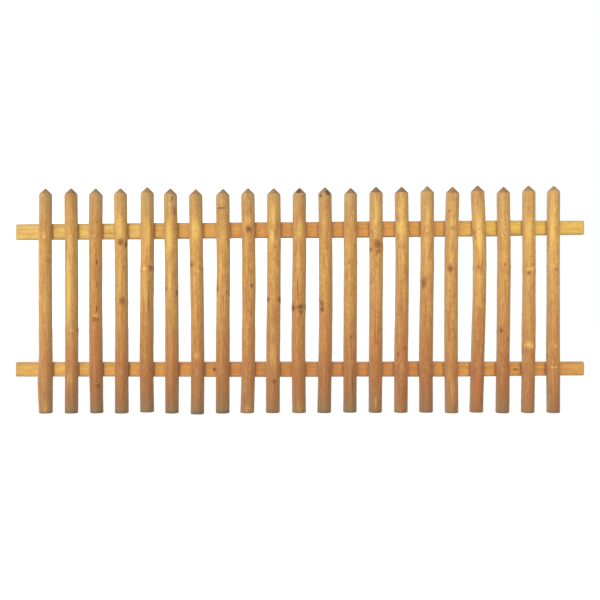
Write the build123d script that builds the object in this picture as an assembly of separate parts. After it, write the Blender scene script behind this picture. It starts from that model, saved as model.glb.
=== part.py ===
from build123d import *
import math
import os
from typing import NamedTuple

# A fence panel of pointed round pickets nailed on two rails, in millimetres.
# +X runs along the panel to the right as seen from the front, +Y points to the back, +Z is up.
# The origin is on the back of the bottom rail, in the middle of the seat for the left post.

# Layout
picket_pitch = 111.4  # from one picket's middle to the next
end_overhang = 136.0  # from the rail's end to the middle of the first picket
post_seat_length = 100.0  # bare rail at each end that lies on a post
rail_spacing = 605.0  # between the two rails' middles at the left end
foot_drop = 189.0  # from the bottom rail's middle down to the pickets' feet
picket_length = 983.0  # foot to tip

# Rails: round poles slabbed on two sides, so that only their edges stay rounded
rail_thickness = 35.0
top_rail_height_left = 71.0
top_rail_height_middle = 72.0
top_rail_height_last_fifth = 71.0
top_rail_height_right = 64.0
top_rail_rise = 20.0  # how much higher the right end is nailed than the left
top_rail_sag = 0.0  # how far its middle hangs below a straight line
bottom_rail_height_left = 66.0
bottom_rail_height_middle = 68.0
bottom_rail_height_last_fifth = 67.0
bottom_rail_height_right = 62.0
bottom_rail_rise = 3.0
bottom_rail_sag = 2.0

# Pickets: round poles with one sawn side, which lies flat on the rails
picket_girth = 59.0  # diameter at the foot
sawn_side_depth = 18.0  # from the pole's middle back to the sawn side
tip_angle = 45.0  # slope of the turned point
tip_radius = 2.5  # the blunt end of the point
saw_edge_wear = 1.5  # chamfer that handling leaves on every sawn end
natural_step = 1.0  # the numbers of the natural poles below count steps of this size


class Picket(NamedTuple):
    """One natural pole: how it stands and grows away from the nominal picket, in steps."""

    shift: float  # the foot's place along the panel
    lean: float  # how far the head stands to the right of the foot
    bow: float  # bend to the right at half height
    swing: float  # second bend: right in the lower half, left in the upper half
    low: float  # how much lower the foot is
    high: float  # how much higher the tip is
    girth: float  # how much thicker the foot is
    taper: float  # how much thinner the head is than the foot
    swell: float = 0  # how much further one swollen ring stands out, by diameter
    swell_share: float = 0  # where that ring is, as a share of the height
    swell_side: float = 0  # -1 where the ring swells to the left alone, 1 to the right, 0 all round


pickets = [
    Picket(
        shift=1, lean=-2, bow=-1, swing=1, low=0, high=0, girth=2, taper=4,
        swell=7, swell_share=0.14, swell_side=-1,
    ),
    Picket(shift=2, lean=-3, bow=2, swing=0, low=0, high=1, girth=-2, taper=0),
    Picket(shift=1, lean=-4, bow=-3, swing=0, low=-1, high=0, girth=0, taper=0),
    Picket(shift=-1, lean=-5, bow=2, swing=0, low=0, high=1, girth=1, taper=3),
    Picket(shift=-1, lean=0, bow=-1, swing=-2, low=-5, high=6, girth=2, taper=2),
    Picket(shift=-4, lean=-7, bow=3, swing=0, low=0, high=0, girth=1, taper=1),
    Picket(shift=-3, lean=-9, bow=3, swing=1, low=4, high=-3, girth=1, taper=1),
    Picket(shift=-5, lean=1, bow=2, swing=-1, low=0, high=-2, girth=1, taper=1),
    Picket(shift=-8, lean=2, bow=6, swing=0, low=-1, high=1, girth=1, taper=1),
    Picket(shift=-8, lean=4, bow=2, swing=-1, low=-2, high=1, girth=3, taper=2),
    Picket(shift=-4, lean=1, bow=-2, swing=-2, low=-2, high=3, girth=2, taper=1),
    Picket(shift=-6, lean=3, bow=6, swing=0, low=-2, high=5, girth=1, taper=0),
    Picket(shift=-4, lean=3, bow=0, swing=0, low=-4, high=2, girth=1, taper=1),
    Picket(shift=-5, lean=4, bow=2, swing=0, low=-3, high=7, girth=1, taper=0),
    Picket(shift=-4, lean=3, bow=3, swing=-2, low=-3, high=7, girth=2, taper=2),
    Picket(shift=-5, lean=5, bow=0, swing=-2, low=-4, high=10, girth=3, taper=2),
    Picket(shift=-5, lean=5, bow=-5, swing=1, low=-1, high=7, girth=1, taper=0),
    Picket(shift=-8, lean=6, bow=10, swing=-3, low=-4, high=13, girth=1, taper=0),
    Picket(shift=-5, lean=4, bow=4, swing=-1, low=-1, high=7, girth=0, taper=1),
    Picket(
        shift=-5, lean=4, bow=3, swing=0, low=-2, high=12, girth=0, taper=1,
        swell=3, swell_share=0.4,
    ),
    Picket(shift=-5, lean=1, bow=-1, swing=0, low=-2, high=11, girth=0, taper=3),
]

picket_shares = (0, 0.25, 0.5, 0.75, 1)  # where each pole's bends are measured, as shares of its height
rail_shares = (0, 0.5, 0.8, 1)  # where each rail's height is measured, as shares of its length

# Worked out from the sizes above
rail_left = -post_seat_length / 2
rail_right = rail_left + 2 * end_overhang + (len(pickets) - 1) * picket_pitch
rail_front = -rail_thickness
picket_axis = rail_front - sawn_side_depth
front_plane = Plane(origin=(0, rail_front, 0), z_dir=(0, 1, 0))
sawn_side_plane = Plane(origin=(0, rail_front, 0), z_dir=(0, -1, 0))
back_plane = Plane(origin=(0, 0, 0), z_dir=(0, -1, 0))


def rail(middle_height, rise, sag, heights):
    """A tapering pole along the panel, slabbed to a true front and back and sawn square at its ends."""
    rings = []
    for along, height in zip(rail_shares, heights):
        bend = -sag * 4 * along * (1 - along)
        place = Plane(
            origin=(
                rail_left + (rail_right - rail_left) * along,
                -rail_thickness / 2,
                middle_height + rise * along + bend,
            ),
            x_dir=(0, 1, 0),
            z_dir=(1, 0, 0),
        )
        rings.append(place * Circle(height / 2))
    pole = loft(rings, ruled=True)
    slab = split(split(pole, bisect_by=front_plane), bisect_by=back_plane)
    ends = slab.faces().sort_by(Axis.X)
    return chamfer(ends[0].edges() + ends[-1].edges(), saw_edge_wear)


def centre_line(pole, along):
    """How far the pole's middle stands to the right of its nominal place, at a share of its height."""
    bend = pole.bow * 4 * along * (1 - along) + pole.swing * math.sin(2 * math.pi * along)
    return natural_step * (pole.shift + pole.lean * along + bend)


def picket(number, pole):
    """A crooked tapering pole with a turned point, sawn flat along its back and square at its foot."""
    nominal = rail_left + end_overhang + number * picket_pitch
    foot = -foot_drop - natural_step * pole.low
    tip = -foot_drop + picket_length + natural_step * pole.high
    foot_radius = (picket_girth + natural_step * pole.girth) / 2
    head_radius = foot_radius - natural_step * pole.taper / 2
    shoulder = tip - (head_radius - tip_radius) * math.tan(math.radians(tip_angle))
    shares = list(picket_shares)
    if pole.swell and pole.swell_share not in shares:
        shares.append(pole.swell_share)
    rings = []
    for along in sorted(shares):
        middle = nominal + centre_line(pole, along)
        radius = foot_radius + (head_radius - foot_radius) * along
        if pole.swell and along == pole.swell_share:
            radius += natural_step * pole.swell / 2
            middle += pole.swell_side * natural_step * pole.swell / 2
        rings.append(Pos(middle, picket_axis, foot + (shoulder - foot) * along) * Circle(radius))
    rings.append(Pos(nominal + centre_line(pole, 1), picket_axis, tip) * Circle(tip_radius))
    pole_with_point = split(loft(rings, ruled=True), bisect_by=sawn_side_plane)
    sawn_foot = pole_with_point.faces().sort_by(Axis.Z)[0]
    return chamfer(sawn_foot.edges(), saw_edge_wear)


def write(name, piece):
    """Save one piece under its own name."""
    piece.label = name
    export_step(piece, os.path.join("parts", name + ".step"))


def main():
    os.makedirs("parts", exist_ok=True)
    write(
        "bottom_rail",
        rail(
            0,
            bottom_rail_rise,
            bottom_rail_sag,
            (
                bottom_rail_height_left,
                bottom_rail_height_middle,
                bottom_rail_height_last_fifth,
                bottom_rail_height_right,
            ),
        ),
    )
    write(
        "top_rail",
        rail(
            rail_spacing,
            top_rail_rise,
            top_rail_sag,
            (
                top_rail_height_left,
                top_rail_height_middle,
                top_rail_height_last_fifth,
                top_rail_height_right,
            ),
        ),
    )
    for number, pole in enumerate(pickets):
        write(f"picket_{number + 1:02d}", picket(number, pole))


main()
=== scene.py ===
import math
from typing import NamedTuple

import bpy
import numpy as np
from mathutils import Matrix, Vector
from mathutils.bvhtree import BVHTree


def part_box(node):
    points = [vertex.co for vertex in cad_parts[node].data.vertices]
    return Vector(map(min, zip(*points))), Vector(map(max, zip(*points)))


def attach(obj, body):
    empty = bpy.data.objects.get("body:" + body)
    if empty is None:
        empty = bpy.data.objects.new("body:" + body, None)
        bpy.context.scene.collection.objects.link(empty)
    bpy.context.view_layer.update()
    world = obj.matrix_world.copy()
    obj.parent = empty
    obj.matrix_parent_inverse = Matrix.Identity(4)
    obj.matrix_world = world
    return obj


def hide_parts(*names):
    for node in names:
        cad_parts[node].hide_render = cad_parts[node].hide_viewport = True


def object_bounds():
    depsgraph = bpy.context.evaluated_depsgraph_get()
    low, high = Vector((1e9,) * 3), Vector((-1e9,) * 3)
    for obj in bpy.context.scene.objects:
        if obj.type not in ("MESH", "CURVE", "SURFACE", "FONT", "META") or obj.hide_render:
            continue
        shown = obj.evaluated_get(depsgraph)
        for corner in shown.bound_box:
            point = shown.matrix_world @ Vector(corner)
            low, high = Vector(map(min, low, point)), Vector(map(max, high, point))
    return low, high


# A picket fence panel: every picket and rail is a natural pole. Its place, bends and girth are
# measured on its solid, and it gets its facets, knots, cracks, stains and grain here.
# Sizes are metres, unless a comment says millimetres. Across and height are as seen from the front.

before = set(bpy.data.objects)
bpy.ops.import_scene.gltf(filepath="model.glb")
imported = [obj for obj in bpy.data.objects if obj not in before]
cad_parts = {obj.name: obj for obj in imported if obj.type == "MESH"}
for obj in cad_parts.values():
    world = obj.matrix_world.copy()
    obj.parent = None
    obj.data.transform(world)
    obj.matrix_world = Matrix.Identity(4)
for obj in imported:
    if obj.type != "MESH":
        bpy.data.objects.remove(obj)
cad_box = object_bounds()

MM = 0.001
FAR = 0.2  # longer than any pole is thick
view_distance = 4.0  # from the photograph's camera to the pickets' middles
view_place = Vector((1.2, 0.0, 0.3057))  # straight in front of this place
above_middle = 300  # in millimetres: a nail above this is in the top rail

# The points of the poles' skins
ring_step = 0.0042  # from one ring of a picket's points to the next
rail_ring_step = 1.3 * ring_step
round_columns = 44  # points round a picket's round side
flat_columns = 12  # points over a sawn side
edge_columns = 12  # points round a rail's rounded edge
corner_inset = 1.2 * MM  # the points that shape a worn corner
sawn_side_width = 48 * MM
rail_face_half = 30 * MM
crack_half_width = 1.1 * MM
crack_steps = (-1, -0.45, 0, 0.45, 1)  # the columns over a crack, from rim to rim
same_crack = 0.05  # cracks nearer than this, by angle, share their columns

# The poles' natural relief
picket_growth = 1.0 * MM  # how far the skin swells and shrinks
rail_growth = 1.1 * MM
picket_facet = 0.07  # how long the peeled facets are
rail_facet = 0.12
facet_count = 60
deep_facet = 0.5 * MM
knot_scale = 1.25  # the photograph blurs a knot's rim, so each knot is read too small
crack_wander = 1.4 * MM
crack_wave = 0.05  # how long a crack's bends are
crack_seed = 7
other_wood = 3.7  # how far apart in the grain two pickets lie, so that no two are alike
other_rail_wood = 1.9

# Corners, points and ends
corner_softness = 0.5 * MM
rail_corner_softness = 1.2 * corner_softness
tip_radius = 2.5 * MM
point_length = 28 * MM  # from a picket's tip down to the lowest edge of its turned point
point_offset = 1.3 * MM  # how far a point is turned off the pole's middle
shoulder_softness = 1.3 * MM  # how far the turned point's shoulder is rounded
shoulder_rings = (9, 7.2, 5.6, 4.2, 3, 2, 1, 0)  # the rings close below the shoulder, in millimetres
cone_parts = (0.035, 0.075, 0.12, 0.18, 0.27, 0.38, 0.5, 0.62, 0.74, 0.85, 0.93, 0.975)
foot_wear = 3.2 * MM
rail_end_wear = 0.8 * MM
rail_end_radius = 33 * MM
rail_end_scales = (0.3, 0.62, 1 - rail_end_wear / rail_end_radius)  # the rings that close an end
cone_wobble = 0.012  # how far a turned point is off the round, as a share of its radius
cone_slack = 3 * MM  # keeps a turned point's rings below its tip
front_margin = 0.2 * MM  # keeps the swellings behind the front of the solids' box

# Where the solids are measured
probe_count = 45
probe_inset = 3 * MM  # from a pole's end
head_inset = 32 * MM  # from a picket's tip, to stay below its turned point
probe_depth = 18 * MM  # from a picket's sawn back, about in its middle

# Where colours and the rails' painted shade are stated
tone_heights = (-0.1, 0.35, 0.72)
painted_shade_places = (0.3, 0.6, 1.75, 1.95)

# The materials of a picket's faces and of a rail's, by number
PEELED, TURNED, END, SAWN = range(4)
FACE, EDGE = range(2)


class Mark(NamedTuple):
    """One natural mark, in millimetres, as seen from the front."""

    across: float  # from the pole's middle to the right
    height: float  # above the bottom rail's middle
    width: float
    tall: float
    strength: float  # how strongly it shows, or how high a whorl swells


class Crack(NamedTuple):
    """A drying crack along the grain, in millimetres."""

    across: float
    low: float
    high: float
    depth: float


class Nail(NamedTuple):
    """A nail head, in millimetres, as seen from the front."""

    picket: int
    across: float
    height: float
    shine: float


class Finish(NamedTuple):
    """One picket's colours."""

    tones: tuple  # at its foot, middle and head, from -1 for brown to 1 for pale yellow
    reds: tuple  # at its foot, middle and turned point, from 0 for tan to 1 for red-brown
    greys: tuple  # the grime of its foot, and the weather's grey on its head and turned point


# What the photograph shows on each picket, from left to right: marks by their kind, each with the
# values of a Mark
marks = {
    1: {
        "knot": [(12, 476, 8, 9, 0.5)],
        "dark": [(-17, 594, 5, 16, 0.4), (4, 572, 6, 10, 0.4), (-8, 170, 16, 5, 0.3)],
        "light": [
            (-5, 592, 24, 28, 0.6), (-4, 290, 22, 150, 0.5), (0, 180, 36, 110, 0.4),
            (-4, -60, 46, 200, 0.35), (0, -160, 50, 100, 0.45),
        ],
        "red": [(-3, 566, 22, 30, 0.5)],
    },
    2: {
        "knot": [(17, 171, 7, 7, 0.5)],
        "whorl": [(0, 170, 0, 24, 0.8)],
        "light": [
            (-6, 172, 40, 10, 0.7), (-12, 350, 24, 320, 0.8), (-6, 545, 26, 130, 0.6),
            (2, 500, 40, 140, 0.4), (-4, -30, 34, 110, 0.45), (-15, 728, 12, 26, 0.5),
        ],
        "red": [(0, 765, 34, 24, 0.6), (16, 40, 12, 50, 0.6)],
    },
    3: {
        "knot": [(-3, 220, 15, 14, 0.6), (7, -71, 13, 14, 0.8)],
        "dark": [(5, 472, 6, 24, 0.9), (4, 374, 5, 36, 0.8), (4, 266, 6, 28, 0.9), (-12, 214, 5, 16, 0.5)],
        "light": [(-2, 236, 14, 14, 0.8), (6, 236, 8, 20, 0.6)],
        "red": [(-2, 590, 40, 60, 0.5), (5, 120, 40, 160, 0.6)],
    },
    4: {
        "knot": [(-4, 558, 15, 17, 0.7), (1, 300, 14, 22, 0.6), (9, 448, 6, 6, 0.4)],
        "dark": [(20, 548, 14, 34, 0.85)],
        "light": [(-4, 625, 38, 110, 0.8), (-2, 450, 36, 150, 0.45)],
        "red": [
            (8, 554, 44, 44, 0.8), (0, 301, 30, 44, 0.8), (-14, 560, 12, 40, 0.4), (4, 60, 20, 80, 0.4),
        ],
    },
    5: {
        "knot": [(14, 446, 13, 12, 0.7)],
        "whorl": [(0, 440, 0, 26, 1.2)],
        "dark": [(12, 453, 30, 5, 0.7), (-25, 104, 8, 24, 0.8), (6, 290, 6, 62, 0.7)],
        "light": [(-10, 443, 26, 16, 0.9), (-2, 600, 28, 160, 0.7), (-7, 340, 12, 120, 0.6)],
        "red": [(14, 436, 26, 26, 0.7), (16, 380, 10, 90, 0.5)],
    },
    6: {
        "knot": [(-23, 356, 8, 9, 0.8), (23, 335, 12, 18, 0.8)],
        "dark": [(7, 752, 6, 24, 0.9), (17, 709, 10, 8, 0.8), (17, 692, 11, 34, 0.65)],
        "light": [(-4, 724, 9, 16, 1.0), (-8, 590, 28, 170, 0.9), (-9, 380, 13, 190, 0.7)],
        "red": [(14, 697, 22, 50, 0.9)],
    },
    7: {
        "knot": [(-22, 461, 12, 14, 0.7)],
        "whorl": [(0, 438, 0, 26, 0.8)],
        "dark": [(-26, 510, 7, 80, 0.5)],
        "light": [(2, 433, 26, 12, 0.7), (-4, 62, 30, 40, 0.6), (0, 612, 42, 100, 1.0)],
    },
    8: {
        "knot": [(-24, 354, 9, 16, 0.8), (16, 337, 8, 10, 0.4), (19, 16, 8, 8, 0.4)],
        "whorl": [(0, 702, 0, 18, 0.6)],
        "dark": [(-6, 709, 46, 7, 0.9), (-18, 707, 15, 8, 0.8), (-18, 690, 12, 16, 0.4)],
        "light": [(-12, 440, 16, 230, 0.6), (-2, 580, 42, 140, 0.5), (-14, 740, 12, 40, 0.5)],
    },
    9: {
        "knot": [(1, 615, 15, 16, 0.9), (13, 369, 10, 12, 0.7)],
        "light": [(0, -165, 50, 90, 0.4), (2, 655, 40, 60, 0.5)],
        "red": [(2, 604, 26, 40, 0.5), (6, 340, 14, 40, 0.4)],
    },
    10: {
        "knot": [(-23, 308, 9, 12, 0.9), (24, 308, 9, 14, 0.9), (4, 538, 7, 8, 0.4), (6, -52, 12, 14, 0.6)],
        "whorl": [(0, 306, 0, 28, 1.0)],
        "dark": [(-25, 540, 6, 90, 0.4)],
        "light": [
            (-8, 585, 20, 60, 1.0), (-4, 680, 20, 110, 0.8), (-3, 60, 30, 110, 0.55),
            (0, 405, 40, 100, 0.45),
        ],
    },
    11: {
        "knot": [(8, 276, 17, 16, 0.9), (10, 256, 12, 14, 0.7), (-22, 272, 13, 18, 0.9)],
        "whorl": [(0, 274, 0, 26, 0.8)],
        "dark": [
            (12, 758, 7, 12, 0.8), (-5, 783, 30, 20, 1.0), (2, 272, 40, 34, 0.55), (10, 238, 24, 36, 0.5),
            (-22, 290, 12, 40, 0.5),
        ],
        "light": [(0, -160, 50, 100, 0.35), (0, 600, 42, 120, 0.6)],
        "red": [(8, 706, 14, 50, 0.6), (-4, 560, 20, 100, 0.4)],
    },
    12: {
        "knot": [(-18, 764, 9, 10, 0.9), (-17, 292, 12, 16, 0.8), (-16, 264, 11, 14, 0.9)],
        "dark": [(15, 776, 22, 26, 1.0), (2, 532, 46, 5, 0.6), (-15, 276, 16, 40, 0.5)],
        "light": [(-10, 590, 16, 60, 0.5), (-12, 420, 18, 120, 0.4)],
        "red": [(4, 735, 30, 40, 0.4)],
    },
    13: {
        "knot": [(-5, 472, 8, 12, 0.4), (2, 141, 8, 9, 0.4)],
        "dark": [(-20, -140, 14, 26, 0.6)],
        "light": [(-2, 405, 40, 110, 0.45)],
        "red": [(19, 742, 10, 50, 0.7), (22, 600, 10, 120, 0.4)],
    },
    14: {
        "knot": [
            (7, 549, 20, 23, 0.75), (-22, 525, 9, 10, 0.8), (9, 521, 10, 12, 0.5), (-1, 505, 6, 8, 0.4),
        ],
        "whorl": [(0, 532, 0, 44, 0.7)],
        "light": [(2, -140, 10, 60, 0.6), (2, 680, 22, 150, 0.6)],
        "red": [(2, 540, 44, 60, 1.0)],
    },
    15: {
        "knot": [(15, 95, 10, 12, 0.7), (-12, 69, 9, 10, 0.6)],
        "dark": [(-11, 542, 7, 28, 0.6), (25, 540, 7, 80, 0.5), (8, 110, 14, 26, 0.4)],
        "light": [
            (0, -160, 46, 90, 0.3), (0, 700, 36, 170, 0.55), (-2, 625, 46, 70, 0.9),
            (0, 400, 36, 110, 0.35),
        ],
        "red": [(3, 80, 46, 70, 0.8), (8, 200, 40, 110, 0.7), (0, 545, 40, 60, 0.5)],
    },
    16: {
        "knot": [(-14, 380, 15, 26, 0.7)],
        "dark": [(-9, -5, 14, 18, 0.5), (-8, 46, 11, 28, 0.5)],
        "light": [(3, 680, 9, 56, 0.9), (4, 520, 16, 160, 0.5)],
        "red": [(-8, 380, 34, 50, 0.7), (18, 640, 14, 50, 0.6)],
    },
    17: {
        "knot": [(-3, 442, 15, 16, 0.75), (-12, 695, 9, 9, 0.4), (2, 621, 9, 10, 0.4)],
        "dark": [(24, -150, 10, 80, 0.5)],
        "light": [(0, 640, 34, 90, 0.6), (-2, -90, 40, 180, 0.45)],
        "red": [(-3, 448, 36, 44, 0.8), (14, 745, 20, 30, 0.5)],
    },
    18: {
        "knot": [(-3, 450, 9, 10, 0.4)],
        "whorl": [(0, 448, 0, 26, 0.6)],
        "dark": [(-10, 36, 20, 30, 0.5)],
        "light": [(2, 590, 24, 190, 1.0), (0, 400, 42, 100, 0.5)],
        "red": [(4, 200, 46, 110, 0.7), (-4, -80, 44, 150, 1.0)],
    },
    19: {
        "knot": [(4, 463, 8, 8, 0.3), (-8, 172, 10, 12, 0.7), (20, 135, 10, 14, 0.6)],
        "dark": [(-14, 750, 12, 18, 0.4)],
        "light": [(0, 400, 42, 110, 0.45)],
        "red": [(2, 175, 40, 90, 0.6), (2, 60, 30, 120, 0.4)],
    },
    20: {
        "knot": [(1, 423, 9, 10, 0.8), (20, 463, 6, 7, 0.7)],
        "whorl": [(0, 438, 0, 24, 1.0), (0, 104, 0, 24, 0.8)],
        "dark": [(-25, 84, 9, 40, 0.9)],
        "light": [
            (4, 440, 50, 22, 0.6), (16, 444, 18, 18, 0.8), (0, 110, 56, 32, 0.7), (14, 104, 18, 16, 1.0),
            (-14, 106, 16, 16, 0.8), (0, 620, 34, 120, 0.7),
        ],
        "red": [(-4, 430, 30, 24, 0.5)],
    },
    21: {
        "knot": [(12, 437, 8, 10, 0.5)],
        "dark": [(-24, 56, 9, 40, 0.8)],
        "light": [
            (4, 702, 10, 44, 1.0), (-4, 640, 26, 190, 0.8), (22, 503, 6, 8, 0.8), (12, 104, 9, 16, 0.8),
        ],
        "red": [(20, 745, 8, 70, 0.6), (6, 30, 30, 60, 0.5)],
    },
}

# By picket
cracks = {
    2: [Crack(21, 120, 500, 2.5)],
    3: [Crack(5, 452, 492, 2.5), Crack(5, 250, 285, 2.5)],
    5: [Crack(7, 248, 378, 3.5)],
    6: [Crack(22, 290, 480, 2.0)],
    8: [Crack(3, 250, 330, 1.5)],
    11: [Crack(-6, 300, 420, 1.5)],
    13: [Crack(12, -120, 40, 1.5)],
    15: [Crack(3, 180, 330, 2.0)],
    17: [Crack(-9, -160, -30, 2.0)],
    19: [Crack(6, 300, 410, 1.5)],
}

# On the rails, across is the place along the rail and height is above the rail's own middle
top_rail_stains = {
    "light": [
        (20, 20, 130, 9, 1.0), (10, 2, 120, 7, 0.9), (165, 6, 60, 14, 1.0), (2120, 8, 60, 20, 0.8),
        (2380, 10, 120, 30, 0.6),
    ],
    "red": [
        (30, -14, 120, 12, 0.5), (360, -10, 90, 20, 0.5), (700, 0, 120, 40, 0.4), (1060, 4, 90, 30, 0.5),
        (1150, -6, 120, 40, 0.6), (2130, -24, 80, 12, 0.6),
    ],
}
bottom_rail_stains = {
    "dark": [(822, 0, 14, 20, 0.9), (2320, -22, 120, 6, 0.5)],
    "light": [(0, 6, 110, 24, 0.5), (150, 4, 70, 26, 0.7), (2060, 6, 60, 16, 0.5)],
    "red": [(940, 0, 300, 50, 0.5), (1350, 0, 300, 50, 0.4)],
}

# The pickets' colours, from left to right
finishes = [
    Finish((1.0, 0.3, -0.6), (0.1, 0.0, 0.1), (0.1, 0.3, 0.1)),
    Finish((0.5, 0.6, -0.4), (0.3, 0.0, 0.6), (0.5, 0.1, 0.3)),
    Finish((-0.5, -0.7, -0.7), (0.5, 0.05, 0.1), (0.7, 0.25, 0.15)),
    Finish((0.0, 0.1, 0.0), (0.5, 0.05, 0.2), (0.5, 0.15, 0.2)),
    Finish((-0.7, -0.3, 0.0), (0.3, 0.05, 0.1), (1.0, 0.35, 0.1)),
    Finish((-0.2, 0.0, -0.1), (0.3, 0.05, 0.2), (0.7, 0.3, 0.4)),
    Finish((0.1, 0.0, -0.4), (0.4, 0.05, 0.2), (0.7, 0.15, 0.25)),
    Finish((-0.2, 0.0, -0.8), (0.6, 0.1, 0.2), (0.8, 0.2, 0.4)),
    Finish((1.0, -0.4, -0.1), (0.4, 0.3, 0.0), (0.1, 0.2, 0.3)),
    Finish((0.5, 0.2, 0.1), (0.6, 0.25, 0.3), (0.3, 0.1, 0.3)),
    Finish((0.1, -0.6, -0.9), (0.5, 0.15, 0.3), (0.2, 0.2, 0.4)),
    Finish((-0.4, -0.2, -0.5), (0.6, 0.25, 0.2), (0.9, 0.2, 0.45)),
    Finish((-0.6, -0.1, -0.2), (0.6, 0.35, 0.3), (1.0, 0.4, 0.35)),
    Finish((0.1, 0.0, 0.4), (0.8, 0.4, 1.0), (0.4, 0.1, 0.5)),
    Finish((0.2, -0.1, 0.7), (1.0, 0.4, 0.9), (0.2, 0.0, 0.55)),
    Finish((-0.7, 0.0, 0.0), (0.8, 0.3, 0.2), (0.7, 0.15, 0.2)),
    Finish((1.0, 0.1, 0.3), (0.4, 0.35, 0.7), (0.1, 0.1, 0.1)),
    Finish((-0.5, 0.4, 0.5), (1.2, 0.55, 0.6), (0.2, 0.1, 0.25)),
    Finish((-0.5, 0.1, 0.2), (1.1, 0.4, 0.6), (0.6, 0.1, 0.2)),
    Finish((0.4, 0.4, 0.5), (0.8, 0.15, 0.3), (0.2, 0.1, 0.35)),
    Finish((0.3, 0.8, 0.7), (0.6, 0.2, 0.1), (0.3, 0.05, 0.1)),
]

# The heads that shine in the photograph
shiny_nails = [
    Nail(1, -4, 583, 1.0),
    Nail(2, -1, 587, 0.9),
    Nail(3, -6, 588, 0.9),
    Nail(16, -2, 608, 0.8),
    Nail(19, 3, 624, 1.0),
    Nail(21, -3, 11, 0.9),
    Nail(21, 11, 11, 1.0),
]


def srgb(red, green, blue):
    """A colour seen on a screen, as the linear values that a material takes."""
    out = []
    for value in (red, green, blue):
        share = value / 255
        out.append(share / 12.92 if share <= 0.04045 else ((share + 0.055) / 1.055) ** 2.4)
    return (*out, 1.0)


# Colours by place along the panel (0) or by height (2)
picket_colours = (
    2,
    [
        (-0.20, srgb(150, 112, 77)),
        (-0.12, srgb(168, 118, 76)),
        (0.06, srgb(192, 136, 81)),
        (0.30, srgb(205, 155, 90)),
        (0.56, srgb(215, 168, 96)),
        (0.78, srgb(206, 160, 96)),
    ],
)
sawn_colours = (2, [(-0.2, srgb(178, 136, 90)), (0.8, srgb(216, 174, 112))])
rail_colours = {
    "top_rail": (
        0,
        [
            (-0.05, srgb(228, 194, 112)),
            (0.48, srgb(236, 198, 111)),
            (0.64, srgb(225, 176, 94)),
            (0.95, srgb(223, 166, 89)),
            (1.45, srgb(218, 158, 83)),
            (1.78, srgb(223, 167, 88)),
            (2.08, srgb(238, 201, 97)),
            (2.45, srgb(229, 190, 95)),
        ],
    ),
    "bottom_rail": (
        0,
        [
            (-0.05, srgb(213, 166, 86)),
            (0.14, srgb(236, 192, 104)),
            (0.40, srgb(226, 170, 90)),
            (0.75, srgb(224, 162, 86)),
            (1.05, srgb(208, 147, 80)),
            (1.70, srgb(213, 146, 79)),
            (1.95, srgb(226, 167, 86)),
            (2.45, srgb(216, 158, 82)),
        ],
    ),
}


# Measuring the solids


class Pole(NamedTuple):
    """A solid pole: its box, and its middle line and radius at places along it."""

    low: Vector
    high: Vector
    axis_y: float  # how deep its middle line lies
    places: np.ndarray
    middles: np.ndarray
    radii: np.ndarray

    def middle(self, along):
        return np.interp(along, self.places, self.middles)

    def radius(self, along):
        return np.interp(along, self.places, self.radii)


def target(mesh):
    """A mesh made ready for straight lines to be cast at it."""
    return BVHTree.FromPolygons([v.co for v in mesh.vertices], [tuple(p.vertices) for p in mesh.polygons])


def smoothed(values, reach):
    """A list of numbers with its corners rounded off, and its ends kept."""
    before = 2 * values[0] - values[1 : reach + 1][::-1]
    after = 2 * values[-1] - values[-reach - 1 : -1][::-1]
    kernel = np.hanning(2 * reach + 3)[1:-1]
    return np.convolve(np.concatenate([before, values, after]), kernel / kernel.sum(), mode="valid")


def measure_picket(node):
    """A picket's middle line and radius, by height."""
    tree = target(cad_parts[node].data)
    low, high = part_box(node)
    heights = np.linspace(low.z + probe_inset, high.z - head_inset, probe_count)
    probe_y = high.y - probe_depth
    rows = []
    for z in heights:
        left = tree.ray_cast(Vector((low.x - FAR, probe_y, z)), Vector((1, 0, 0)))[0]
        right = tree.ray_cast(Vector((high.x + FAR, probe_y, z)), Vector((-1, 0, 0)))[0]
        middle = (left.x + right.x) / 2
        front = tree.ray_cast(Vector((middle, low.y - FAR, z)), Vector((0, 1, 0)))[0]
        half = (right.x - left.x) / 2
        rise = probe_y - front.y
        radius = (half * half + rise * rise) / (2 * rise)
        rows.append((middle, radius, front.y + radius))
    middles, radii, depths = np.array(rows).T
    return Pole(low, high, float(np.mean(depths)), heights, smoothed(middles, 4), smoothed(radii, 2))


def measure_rail(node):
    """A rail's middle line and radius, by place along the panel."""
    tree = target(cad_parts[node].data)
    low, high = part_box(node)
    places = np.linspace(low.x + probe_inset, high.x - probe_inset, probe_count)
    axis_y = (low.y + high.y) / 2
    rows = []
    for x in places:
        under = tree.ray_cast(Vector((x, axis_y, low.z - FAR)), Vector((0, 0, 1)))[0].z
        over = tree.ray_cast(Vector((x, axis_y, high.z + FAR)), Vector((0, 0, -1)))[0].z
        rows.append(((under + over) / 2, (over - under) / 2))
    middles, radii = np.array(rows).T
    return Pole(low, high, axis_y, places, smoothed(middles, 4), smoothed(radii, 3))


# Natural relief


def wave(along, length, rng):
    """A smooth random line along a pole, from -1 to 1, with waves of about that length."""
    first = along.min()
    values = rng.uniform(-1, 1, int((along.max() - first) / length) + 4)
    place = (along - first) / length
    cell = np.floor(place).astype(int)
    share = place - cell
    ease = share * share * (3 - 2 * share)
    return values[cell] * (1 - ease) + values[cell + 1] * ease


# Waves round a pole: how many to a turn, how high, and how long along the pole
swellings = ((1, 0.35, 0.22), (2, 0.55, 0.3), (3, 0.3, 0.16), (5, 0.16, 0.09))


def growth(angle, along, rng, size):
    """The slow swelling and ovality of a natural pole, as a change of radius."""
    relief = np.zeros_like(angle)
    for harmonic, height, length in swellings:
        relief += height * wave(along, length, rng) * np.cos(harmonic * angle)
        relief += height * wave(along, length, rng) * np.sin(harmonic * angle)
    relief += 0.35 * wave(along, 0.07, rng)
    return relief * size


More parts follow.
